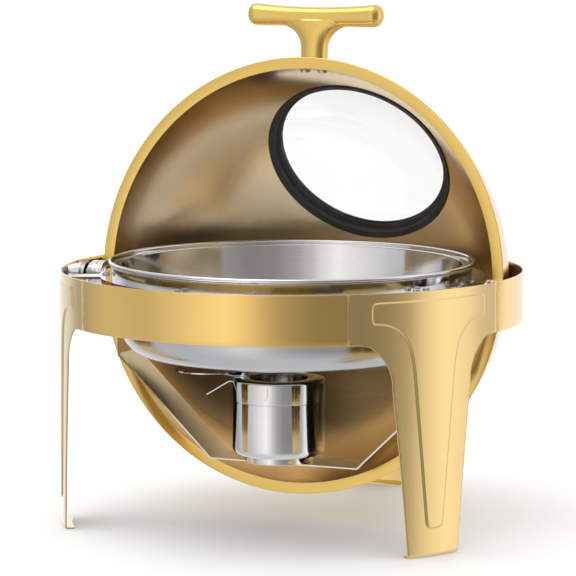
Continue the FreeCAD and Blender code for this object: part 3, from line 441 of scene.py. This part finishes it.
def leg_outline():
    """The leg with its panel of the band, unrolled: sideways from its middle, up from the floor."""
    edge = BAND_R * math.sin(PANEL_HALF - SLIT)
    half = [(edge, BAND_TOP), (edge, BAND_LOW), (0.0770, BAND_LOW)]
    knee = BAND_LOW - KNEE_DROP
    for k in range(11):
        u = k / 10
        half.append((KNEE_HALF + FLARE * (1 - u) ** 2.6, BAND_LOW - 0.002 - (KNEE_DROP - 0.002) * u))
    for k in range(1, 7):
        u = k / 6
        half.append((KNEE_HALF - (KNEE_HALF - FOOT_HALF) * u + 0.0035 * u * (u - 1), knee * (1 - u)))
    toe = FOOT_BEND * (1 - math.pi / 2) - (FOOT_DEPTH - FOOT_BEND)
    half.append((FOOT_HALF, toe))
    return both_sides(half)


def eased(outline, rounds=3):
    """Cuts the corners off an outline, so that its turns are soft."""
    for _ in range(rounds):
        softer = []
        for (ax, ay), (bx, by) in zip(outline, outline[1:] + outline[:1]):
            cut = min(0.25, 0.003 / max(0.003, math.hypot(bx - ax, by - ay)))
            softer += [(ax + (bx - ax) * cut, ay + (by - ay) * cut),
                       (bx - (bx - ax) * cut, by - (by - ay) * cut)]
        outline = softer
    return outline


def pressed_outline():
    """The T pressed into the leg: a bar under the band's edge and a stem tapering to the foot."""
    top = BAND_TOP - 0.009
    low = top - 0.020
    half = [(0.0675, top), (0.0675, low), (0.0595, low), (0.0500, low - 0.0020), (0.0410, low - 0.0065),
            (0.0330, low - 0.0145), (0.0275, low - 0.0270), (0.0240, low - 0.0450), (0.009, 0.028)]
    return eased(both_sides(half))


def inside(point, outline):
    within = False
    x, y = point
    for (ax, ay), (bx, by) in zip(outline, outline[1:] + outline[:1]):
        if (ay > y) != (by > y) and x < (bx - ax) * (y - ay) / (by - ay) + ax:
            within = not within
    return within


def depth_in(point, outline):
    """How far a point lies inside an outline, less than nothing outside it."""
    spot = Vector(point)
    near = 1.0
    for a, b in zip(outline, outline[1:] + outline[:1]):
        a, b = Vector(a), Vector(b)
        run = b - a
        u = max(0.0, min(1.0, (spot - a).dot(run) / run.length_squared))
        near = min(near, (spot - a - run * u).length)
    return near if inside(point, outline) else -near


def finer(outline, step):
    points = []
    for (ax, ay), (bx, by) in zip(outline, outline[1:] + outline[:1]):
        count = max(1, round(math.hypot(bx - ax, by - ay) / step))
        points += [(ax + (bx - ax) * i / count, ay + (by - ay) * i / count) for i in range(count)]
    return points


def sheet_piece(name, degrees, outline, finish, pressed=None, step=0.006, unrolled=False):
    """Cuts a sheet to its outline, rolls it to the band, presses its panel and bends its foot."""
    rim = finer(outline, step)
    lows = [min(p[i] for p in rim) for i in (0, 1)]
    highs = [max(p[i] for p in rim) for i in (0, 1)]
    points = list(rim)
    for row in range(1, int((highs[1] - lows[1]) / step) + 1):
        for column in range(1, int((highs[0] - lows[0]) / step) + 1):
            shift = 0.5 * step * (row % 2)
            point = (lows[0] + (column - 0.5) * step + shift, lows[1] + row * step)
            if depth_in(point, outline) > step * 0.4:
                points.append(point)
    count = len(rim)
    if pressed:
        line = finer(pressed, PRESS_STEP)
        points = rim + [p for p in points[count:] if abs(depth_in(p, pressed)) > PRESS_CLEAR]
        for before, here, after in zip(line[-1:] + line[:-1], line, line[1:] + line[:1]):
            side = Vector((before[1] - after[1], after[0] - before[0])).normalized()
            points += [tuple(Vector(here) + side * away) for away in PRESS_ROWS]
    cut = delaunay_2d_cdt([Vector(p) for p in points], [], [list(range(count))], 1, 1e-7)
    turn = Matrix.Rotation(math.radians(degrees), 3, "Z")
    verts = []
    for s, h in cut[0]:
        proud = 0.0
        if pressed:
            deep = max(0.0, min(1.0, depth_in((s, h), pressed) / PRESS_SLOPE + 0.5))
            proud = PRESS_RISE * deep * deep * (3 - 2 * deep)
        angle = s / BAND_R if unrolled else math.asin(s / BAND_R)
        radius, z = BAND_R + proud, h
        if h < FOOT_BEND:
            bend = (FOOT_BEND - h) / FOOT_BEND
            if bend < math.pi / 2:
                radius, z = BAND_R - FOOT_BEND * (1 - math.cos(bend)), FOOT_BEND * (1 - math.sin(bend))
            else:
                radius, z = BAND_R - FOOT_BEND - (FOOT_BEND - h - FOOT_BEND * math.pi / 2), 0.0
        verts.append(turn @ Vector((radius * math.sin(angle), -radius * math.cos(angle), z)))
    mesh = bpy.data.meshes.new(name)
    mesh.from_pydata(verts, [], cut[2])
    shape = bmesh.new()
    shape.from_mesh(mesh)
    bmesh.ops.remove_doubles(shape, verts=shape.verts, dist=MERGE)
    bmesh.ops.recalc_face_normals(shape, faces=shape.faces)
    middles = [(f.normal, f.calc_center_median()) for f in shape.faces]
    if sum(n.x * c.x + n.y * c.y for n, c in middles if c.z > 0.02) < 0:
        bmesh.ops.reverse_faces(shape, faces=shape.faces)
    shape.to_mesh(mesh)
    shape.free()
    piece = link(name, mesh)
    wall = piece.modifiers.new("wall", "SOLIDIFY")
    wall.thickness, wall.offset, wall.use_even_offset = SHEET, -1.0, False
    soft = piece.modifiers.new("edge", "BEVEL")
    soft.width, soft.segments, soft.limit_method = EDGE_BREAK, 2, "ANGLE"
    soft.angle_limit = math.radians(60)
    bake(piece)
    mesh = piece.data
    mesh.materials.clear()
    mesh.materials.append(finish)
    mesh.shade_smooth()
    mesh.set_sharp_from_angle(angle=math.radians(SHARP_SHEET))
    place(piece, "stand", "gold_sheet", name)


def bake(piece):
    """Turns the live modifiers into plain mesh."""
    graph = bpy.context.evaluated_depsgraph_get()
    graph.update()
    mesh = bpy.data.meshes.new_from_object(piece.evaluated_get(graph), depsgraph=graph)
    piece.modifiers.clear()
    piece.data = mesh
    mesh.name = piece.name


def legs_and_bands():
    for side, degrees in (("left", -60), ("right", 60), ("rear", 180)):
        sheet_piece("leg_" + side, degrees, leg_outline(), gold_leg, pressed_outline(),
                    step=0.0021)
    for side, start, stop in (("front", -37.5, 37.5), ("right", 82.5, 157.5), ("left", -157.5, -82.5)):
        half = BAND_R * (math.radians(stop - start) / 2 - SLIT)
        outline = [(half, BAND_LOW), (half, BAND_TOP), (-half, BAND_TOP), (-half, BAND_LOW)]
        sheet_piece("band_" + side, (start + stop) / 2, outline, gold_band, unrolled=True)


def merged_copy(node):
    """A copy of a CAD node's mesh with its loose triangles joined."""
    mesh = nodes[node].data.copy()
    piece = link(node + "_made", mesh)
    shape = bmesh.new()
    shape.from_mesh(mesh)
    bmesh.ops.remove_doubles(shape, verts=shape.verts, dist=MERGE_CAD)
    shape.to_mesh(mesh)
    shape.free()
    return piece


def softened(node, body, slot_name, width):
    """A copy of a cut sheet or turned part with its edges broken."""
    piece = merged_copy(node)
    shape = bmesh.new()
    shape.from_mesh(piece.data)
    bmesh.ops.dissolve_limit(shape, angle_limit=math.radians(0.4), verts=shape.verts, edges=shape.edges)
    shape.to_mesh(piece.data)
    shape.free()
    soft = piece.modifiers.new("edge", "BEVEL")
    soft.width, soft.segments, soft.limit_method = width, 2, "ANGLE"
    soft.angle_limit = math.radians(40)
    piece.data.shade_smooth()
    flat = piece.modifiers.new("level faces", "WEIGHTED_NORMAL")
    flat.weight = 80
    bake(piece)
    place(piece, body, slot_name, node)


# Cut sheets and small parts whose edges are broken: node, body, slot, rounding.
SOFTENED = [
    ("burner_strap", "stand", "stainless", 0.0003),
    ("support_arm_front", "stand", "stainless", 0.0003),
    ("support_arm_left", "stand", "stainless", 0.0003),
    ("support_arm_right", "stand", "stainless", 0.0003),
    ("snuffer_flap", "flap", "stainless", 0.0002),
    ("cap_tab", "cap", "stainless", 0.0002),
    ("cap_clip", "cap", "stainless", 0.0002),
    ("hinge_lug_left", "lid", "bright_hub", 0.0004),
    ("hinge_lug_right", "lid", "bright_hub", 0.0004),
    ("stop_arm_left", "lid", "bright_hub", 0.0004),
    ("stop_arm_right", "lid", "bright_hub", 0.0004),
    ("window_gasket", "lid", "black_rubber", 0.0004),
    ("support_hoop", "stand", "stainless", 0.0003),
]


def cut_parts():
    for node, body, slot_name, width in SOFTENED:
        softened(node, body, slot_name, width)


def lid_point(x, out, up):
    """A point given from the lid's centre, drawn shut, and turned back with the lid."""
    return Matrix.Rotation(LID_TILT, 3, "X") @ Vector((x, -out, up)) + Vector(LID_CENTRE)


def loft(shape, rings):
    """Skins a row of closed rings and caps both ends."""
    rows = [[shape.verts.new(p) for p in ring] for ring in rings]
    for low, high in zip(rows, rows[1:]):
        for k in range(len(low)):
            shape.faces.new((low[k - 1], low[k], high[k], high[k - 1]))
    shape.faces.new(list(reversed(rows[0])))
    shape.faces.new(rows[-1])


def oval(half_a, half_b, power=2.4, count=48):
    """Points round an oval that is a little fuller than an ellipse."""
    for k in range(count):
        c, s = math.cos(math.tau * k / count), math.sin(math.tau * k / count)
        yield (math.copysign(half_a * abs(c) ** (2 / power), c),
               math.copysign(half_b * abs(s) ** (2 / power), s))


def cast_handle():
    """A dished grip with full ends on a stem that flares into it. Distances out are from the lid's centre."""
    out, under, up = 0.2757, 0.2518, 0.0235          # grip's outer and inner face, height over the rim
    half, deep, dish = 0.0738, 0.0122, 0.0045        # half length, half depth, hollow of its middle
    neck, flare, foot, clear = 0.0138, 0.023, 0.2113, 0.2145
    end, slices = 0.010, 40
    shape = bmesh.new()
    rings = []
    for k in range(-slices, slices + 1):
        u = math.sin(math.pi / 2 * k / slices)
        full = max(0.02, 1 - max(0.0, (abs(u) * half - (half - end)) / end) ** 2) ** 0.5
        top = out - dish * (1 - u * u)
        middle, tall = (top + under) / 2, (top - under) / 2 * full
        rings.append([lid_point(u * half, middle + a, up + b)
                      for a, b in oval(tall, deep * full * (0.86 + 0.14 * u * u))])
    loft(shape, rings)
    rings = [[lid_point(a, math.sqrt(foot ** 2 - a * a - (up + b) ** 2), up + b)
              for a, b in oval(neck, deep * 0.92)]]
    for k in range(1, 25):
        d = clear + (under + 0.006 - clear) * k / 24
        rise = max(0.0, min(1.0, (d - under + flare) / flare))
        wide = neck + flare * (1 - math.sqrt(1 - min(0.99, rise) ** 2))
        rings.append([lid_point(a, d, up + b) for a, b in oval(wide, deep * (0.92 + 0.04 * rise))])
    loft(shape, rings)
    bmesh.ops.recalc_face_normals(shape, faces=shape.faces)
    mesh = bpy.data.meshes.new("grip")
    shape.to_mesh(mesh)
    shape.free()
    piece = link("grip", mesh)
    remesh = piece.modifiers.new("casting", "REMESH")
    remesh.mode, remesh.voxel_size = "VOXEL", 0.0008
    smooth = piece.modifiers.new("fettled", "SMOOTH")
    smooth.factor, smooth.iterations = 0.5, 8
    bake(piece)
    piece.data.materials.clear()
    piece.data.materials.append(gold_handle)
    piece.data.shade_smooth()
    place(piece, "lid", "gold_casting", "lid_handle")


# ---- turned pieces: each outline is (radius, height, rounding) round the section ----
TURNING = turning_rule()
PAN_SHEET = 0.001
WATER_WALL_R, WATER_CORNER, WATER_LEAN = 0.176, 0.026, math.tan(math.radians(4.5))
FOOD_WALL_R, FOOD_CORNER, FOOD_LEAN = 0.1715, 0.022, math.tan(math.radians(6.0))
FOOD_ROLL_R = 0.0021
CUP_R, CUP_NECK_R, CUP_LEAN = 0.0462, 0.0456, math.tan(math.radians(0.8))
CAP_R, CAP_HOLE_R = 0.0469, 0.0290
BURNER_FOOT_IN, BURNER_FOOT_R = 0.032, 0.034
RIM_IN, LID_R, RIM_T = 0.2085, 0.220, 0.0015


def water_pan():
    low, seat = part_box("water_pan")[0].z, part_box("water_pan")[1].z
    rim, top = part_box("water_pan")[1].x, seat - PAN_SHEET
    floor_r = WATER_WALL_R - (top - low) * WATER_LEAN
    turned("water_pan_made", [
        (0, low, 0), (floor_r, low, WATER_CORNER), (WATER_WALL_R, top, 0.0008),
        (rim - 0.0004, top, 0.0003), (rim, top + 0.0005, 0.0003), (rim - 0.0004, seat, 0.0003),
        (WATER_WALL_R - PAN_SHEET, seat, 0.0012),
        (floor_r - PAN_SHEET, low + PAN_SHEET, WATER_CORNER - PAN_SHEET), (0, low + PAN_SHEET, 0)],
        bowl_steel, "water_pan_body", "stainless", "water_pan", segments=180, steps=8)


def food_pan():
    """The bowl and its rolled edge in one, as it is pressed."""
    seat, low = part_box("water_pan")[1].z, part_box("food_pan")[0].z
    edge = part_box("food_pan_rim")[1]
    roll_x, roll_z = edge.x - FOOD_ROLL_R, edge.z - FOOD_ROLL_R
    floor_r = FOOD_WALL_R - (seat - low) * FOOD_LEAN
    roll = [(roll_x + FOOD_ROLL_R * math.cos(a), roll_z + FOOD_ROLL_R * math.sin(a), 0)
            for a in (math.radians(-80 + 25 * k) for k in range(11))]
    turned("food_pan_made", [
        (0, low, 0), (floor_r, low, FOOD_CORNER), (FOOD_WALL_R, seat, 0.0008),
        (roll_x - FOOD_ROLL_R * 0.2, seat, 0)] + roll + [
        (roll_x - FOOD_ROLL_R * 0.95, seat + PAN_SHEET, 0), (FOOD_WALL_R - 0.0012, seat + PAN_SHEET, 0.0016),
        (floor_r - PAN_SHEET, low + PAN_SHEET, FOOD_CORNER - PAN_SHEET), (0, low + PAN_SHEET, 0)],
        polished_steel, "food_pan_body", "stainless", "food_pan", "food_pan_rim", segments=180, steps=8)


def burner():
    """Fuel cup, cap and foot ring, with a lip at every edge."""
    foot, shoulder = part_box("burner_cup")[0].z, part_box("burner_cap")[0].z
    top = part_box("burner_cap")[1].z
    brim = top - 0.0013
    turned("burner_cup_made", [
        (0, foot, 0), (CUP_R + (shoulder - foot) * CUP_LEAN, foot, 0.008),
        (CUP_R, shoulder - 0.0003, 0.0008), (CUP_NECK_R, shoulder - 0.0003, 0),
        (CUP_NECK_R, brim, 0.0003), (CUP_NECK_R - PAN_SHEET, brim, 0.0003),
        (CUP_NECK_R - PAN_SHEET, foot + PAN_SHEET, 0.007), (0, foot + PAN_SHEET, 0)],
        burner_steel, "burner", "stainless", "burner_cup", Centre=BURNER_AXIS, steps=7)
    turned("burner_cap_made", [
        (CAP_R - PAN_SHEET, shoulder + 0.0002, 0.0003), (CAP_R, shoulder + 0.0002, 0.0006),
        (CAP_R, top, 0.0026), (CAP_HOLE_R, top, 0.0004), (CAP_HOLE_R, top - PAN_SHEET, 0.0004),
        (CAP_R - PAN_SHEET, top - PAN_SHEET, 0.0018)],
        burner_steel, "cap", "stainless", "burner_cap", Centre=BURNER_AXIS, steps=6)
    low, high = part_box("burner_foot")[0].z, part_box("burner_foot")[1].z
    turned("burner_foot_made", [
        (BURNER_FOOT_IN, low, 0.0004), (BURNER_FOOT_R, low, 0.0006), (BURNER_FOOT_R, high, 0.0003),
        (BURNER_FOOT_IN, high, 0.0003)],
        burner_steel, "burner", "stainless", "burner_foot", Centre=BURNER_AXIS)


def lid_ring():
    turned("lid_rim_made", [
        (RIM_IN, 0.0, 0.0004), (LID_R, 0.0, 0.0006), (LID_R, RIM_T, 0.0006), (RIM_IN, RIM_T, 0.0004)],
        gold_rim, "lid", "gold_sheet", "lid_rim", Centre=LID_CENTRE, Turn=(LID_TILT, 0, 0),
        segments=240, steps=3)


def barrel_outline(length):
    """A barrel with a shallow groove near its outer end."""
    r, bore, groove, step, start = 0.014, 0.00506, 0.0007, 0.0006, length * 0.30
    return [(bore, 0, 0.0003), (r, 0, 0.0008), (r, start, 0.0003), (r - groove, start + step, 0.0003),
            (r - groove, start + 2 * step, 0.0003), (r, start + 3 * step, 0.0003),
            (r, length, 0.0008), (bore, length, 0.0003)]


def washer_outline(length):
    r, bore = 0.009, 0.00503
    return [(bore, 0, 0), (r, 0, 0.0005), (r, length, 0.0005), (bore, length, 0)]


def cap_nut_outline(length):
    """A domed nut, its dome towards the pan."""
    r = 0.006
    return [(0, 0, 0), (r * 0.5, length * 0.03, 0.002), (r, length * 0.42, 0.0030), (r, length, 0.0004),
            (0, length, 0)]


HUB_OUTLINES = [("hub_barrel", "lid", barrel_outline), ("cap_nut", "stand", cap_nut_outline),
                ("hub_washer", "stand", washer_outline)]


def hubs():
    """Barrel, washer and cap nut on each side, turned from the pan outwards."""
    for side, way in (("left", -1), ("right", 1)):
        for kind, body, outline in HUB_OUTLINES:
            node = f"{kind}_{side}"
            low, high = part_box(node)[0].x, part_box(node)[1].x
            turned(node + "_made", outline(high - low), chrome, body, "bright_hub", node,
                   Centre=(low if way > 0 else high, 0.0, PIVOT_Z), Turn=(0, way * math.pi / 2, 0),
                   segments=72, steps=4)


def separate_solids(node):
    """The points of each separate solid of a CAD node."""
    shape = bmesh.new()
    shape.from_mesh(nodes[node].data)
    bmesh.ops.remove_doubles(shape, verts=shape.verts, dist=MERGE_CAD)
    seen, found = set(), []
    for first in shape.verts:
        if first in seen:
            continue
        seen.add(first)
        group = [first]
        for vert in group:
            for edge in vert.link_edges:
                other = edge.other_vert(vert)
                if other not in seen:
                    seen.add(other)
                    group.append(other)
        found.append([v.co.copy() for v in group])
    shape.free()
    return found


def splice_fasteners():
    """A nut and its threaded end on every weld stud inside the band."""
    mesh = bpy.data.meshes.new("splice nut seats")
    ways, seats = [], []
    for points in separate_solids("splice_nuts"):
        mean = sum(points, Vector()) / len(points)
        inward = -Vector((mean.x, mean.y, 0)).normalized()
        near = min(p.dot(inward) for p in points)
        middle = Vector([(min(p[i] for p in points) + max(p[i] for p in points)) / 2 for i in range(3)])
        seats.append(middle + inward * (near - middle.dot(inward)))
        ways.append(inward)
    mesh.from_pydata(seats, [], [])
    held = mesh.attributes.new("toward", "FLOAT_VECTOR", "POINT")
    held.data.foreach_set("vector", [c for way in ways for c in way])
    piece = made_by_rule("splice_nuts_made", mesh, fastener_rule(), {
        "Across flats": 0.007, "Nut height": 0.0022, "Thread radius": 0.002, "Thread length": 0.00035,
        "Finish": plain_steel}, merge=1e-7)
    place(piece, "stand", "hardware", "splice_nuts")


legs_and_bands()
cast_handle()
water_pan()
food_pan()
burner()
lid_ring()
hubs()
cut_parts()
splice_fasteners()


# ---- floor, light and camera ----
def floor():
    mesh = bpy.data.meshes.new("floor")
    reach = 40.0
    mesh.from_pydata([(-reach, -reach, 0), (reach, -reach, 0), (reach, reach, 0), (-reach, reach, 0)],
                     [], [(0, 1, 2, 3)])
    piece = link("floor", mesh)
    finish, _, shader = new_finish("white floor")
    shader.inputs["Base Color"].default_value = (0.96, 0.96, 0.96, 1)
    shader.inputs["Roughness"].default_value = 0.6
    mesh.materials.append(finish)
    piece.visible_glossy = False


# Brightness of the studio around the object, by direction in degrees from the front, + to the right.
STUDIO = [(-180, 1.0, 1.05), (-150, 1.10, 1.05), (-124, 0.86, 1.05), (-104, 0.46, 1.05), (-78, 0.70, 1.0),
          (-52, 0.66, 1.0), (-36, 0.84, 0.97), (-22, 1.02, 0.95), (-8, 1.18, 0.95), (2, 0.96, 0.95),
          (12, 0.64, 0.95), (22, 0.44, 0.95), (38, 0.31, 0.95), (56, 0.29, 0.95), (70, 0.34, 0.95),
          (82, 0.52, 0.97), (92, 1.0, 1.0), (104, 1.28, 1.0), (118, 1.15, 1.0), (134, 0.78, 1.0),
          (142, 0.70, 1.0), (154, 1.15, 1.0), (180, 1.0, 1.05)]


def studio():
    world = bpy.data.worlds.new("studio")
    bpy.context.scene.world = world
    world.use_nodes = True
    world.node_tree.nodes.clear()
    net = Net(world.node_tree)
    way = net.add("ShaderNodeTexCoord").outputs["Generated"]
    x, y, z = net.add("ShaderNodeSeparateXYZ", {0: way}).outputs
    turn = net.math("ARCTAN2", x, net.math("MULTIPLY", y, -1.0))
    share = net.remap(turn, -math.pi, math.pi, 0.0, 1.0)
    ramp = net.add("ShaderNodeValToRGB", {0: share})
    ramp.color_ramp.interpolation = "EASE"
    stops = ramp.color_ramp.elements
    while len(stops) > 1:
        stops.remove(stops[-1])
    for k, (degrees, level, blue) in enumerate(STUDIO):
        stop = stops[0] if k == 0 else stops.new((degrees + 180) / 360)
        stop.position = (degrees + 180) / 360
        stop.color = (level, level * (1 + blue) / 2, level * blue, 1)
    overhead = net.remap(z, 0.25, 0.8, 0.0, 1.0)
    around = net.blend(overhead, ramp.outputs[0], (0.95, 0.95, 0.95, 1))
    below = net.remap(z, -0.9, -0.2, 1.0, 0.0)
    around = net.blend(below, around, (0.75, 0.75, 0.75, 1))
    path = net.add("ShaderNodeLightPath")
    seen = net.math("MAXIMUM", path.outputs["Is Camera Ray"], path.outputs["Is Transmission Ray"])
    plain = net.math("MAXIMUM", seen, path.outputs["Is Diffuse Ray"])
    colour = net.blend(plain, around, (1.12, 1.12, 1.12, 1))
    background = net.add("ShaderNodeBackground", {"Color": colour, "Strength": 1.0})
    net.add("ShaderNodeOutputWorld", {"Surface": background.outputs[0]})


def softbox(name, place, aim, size, watts, tint=(1, 1, 1)):
    lamp = bpy.data.lights.new(name, "AREA")
    lamp.shape = "RECTANGLE"
    lamp.size, lamp.size_y = size
    lamp.energy = watts
    lamp.color = tint
    piece = link(name, lamp)
    piece.location = place
    piece.rotation_euler = (Vector(aim) - Vector(place)).to_track_quat("-Z", "Y").to_euler()


def camera():
    lens = bpy.data.cameras.new("camera")
    lens.sensor_width = 36.0
    lens.lens = 205.99
    lens.clip_end = 100.0
    piece = link("camera", lens)
    piece.location = (1.3428, -2.9975, 0.6266)
    aim = Vector((-0.0037, -0.0016, 0.2357)) - piece.location
    piece.rotation_euler = aim.to_track_quat("-Z", "Y").to_euler()
    bpy.context.scene.camera = piece


floor()
studio()
softbox("overhead softbox", (-0.5, -0.6, 2.4), (0, 0, 0.25), (1.6, 1.6), 14)
camera()
bpy.context.scene.view_settings.view_transform = "Standard"
